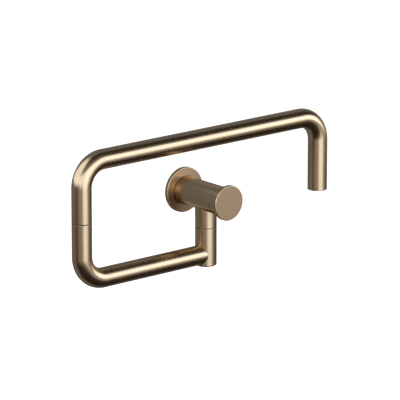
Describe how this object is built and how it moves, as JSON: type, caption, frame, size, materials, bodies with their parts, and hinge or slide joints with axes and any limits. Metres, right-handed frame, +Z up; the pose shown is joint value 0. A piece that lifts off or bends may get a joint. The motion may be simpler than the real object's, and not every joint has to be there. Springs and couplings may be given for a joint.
{
  "type": "wall mounted pot filler",
  "caption": "Wall mounted kitchen pot filler tap: round valve body on a flange, disc knob, folding tubular arms on swivels and an aerated spout.",
  "frame": {"origin": "centre of the wall flange's back face, on the finished wall", "axes": "+Y out of the back into the wall, so the room is on the -Y side; +X to the right seen from the room, along the folded arms; +Z up"},
  "size_m": [0.3593, 0.0958, 0.1547],
  "materials": {
    "bronze_finish": "brushed bronze, satin",
    "raw_brass": "machined",
    "stainless": "machined",
    "ceramic": "lapped",
    "rubber": "matte",
    "glide_plastic": "matte",
    "pale_plastic": "satin"
  },
  "bodies": {
    "valve": {"wall_flange": "bronze_finish", "flange_gasket": "rubber", "flange_grip_ring": "rubber", "wall_connector": "raw_brass", "connector_seal_1": "rubber", "connector_seal_2": "rubber", "inlet_filter": "stainless", "valve_body": "bronze_finish", "body_grub_screw": "stainless", "seat_seal": "rubber", "fixed_ceramic_disc": "ceramic", "cartridge_housing": "raw_brass", "cartridge_seal": "rubber", "cartridge_nut": "raw_brass", "knob_glide_ring": "glide_plastic", "swivel_pin": "raw_brass", "swivel_seal_1": "rubber", "swivel_seal_2": "rubber", "swivel_washer": "stainless", "swivel_clip": "stainless"},
    "knob": {"knob": "bronze_finish", "knob_grub_screw": "stainless", "spindle": "raw_brass", "spindle_seal": "rubber", "spindle_clip": "stainless", "moving_ceramic_disc": "ceramic"},
    "lower_arm": {"hub": "bronze_finish", "swivel_glide_ring": "glide_plastic", "hub_plug": "bronze_finish", "hub_plug_seal": "rubber", "lower_arm_tube": "bronze_finish", "elbow_spigot": "raw_brass", "elbow_seal_1": "rubber", "elbow_seal_2": "rubber", "elbow_clip": "stainless", "elbow_glide_ring": "glide_plastic"},
    "upper_arm": {"elbow_socket": "raw_brass", "upper_arm_tube": "bronze_finish", "outlet_insert": "raw_brass", "aerator_housing": "bronze_finish", "aerator_grid": "pale_plastic", "aerator_diffuser": "pale_plastic", "aerator_seal": "rubber"}
  },
  "joints": [
    {"name": "knob_turn", "type": "hinge", "parent": "valve", "child": "knob", "pos_m": [0, -0.07, 0], "axis": [0, -1, 0], "range_deg": [0, 90]},
    {"name": "wall_swivel", "type": "hinge", "parent": "valve", "child": "lower_arm", "pos_m": [0, -0.0397, -0.0343], "axis": [0, 0, 1], "range_deg": [0, 180]},
    {"name": "elbow_swivel", "type": "hinge", "parent": "lower_arm", "child": "upper_arm", "pos_m": [-0.1734, -0.0397, 0.0004], "axis": [0, 0, -1], "range_deg": [-180, 180]}
  ]
}
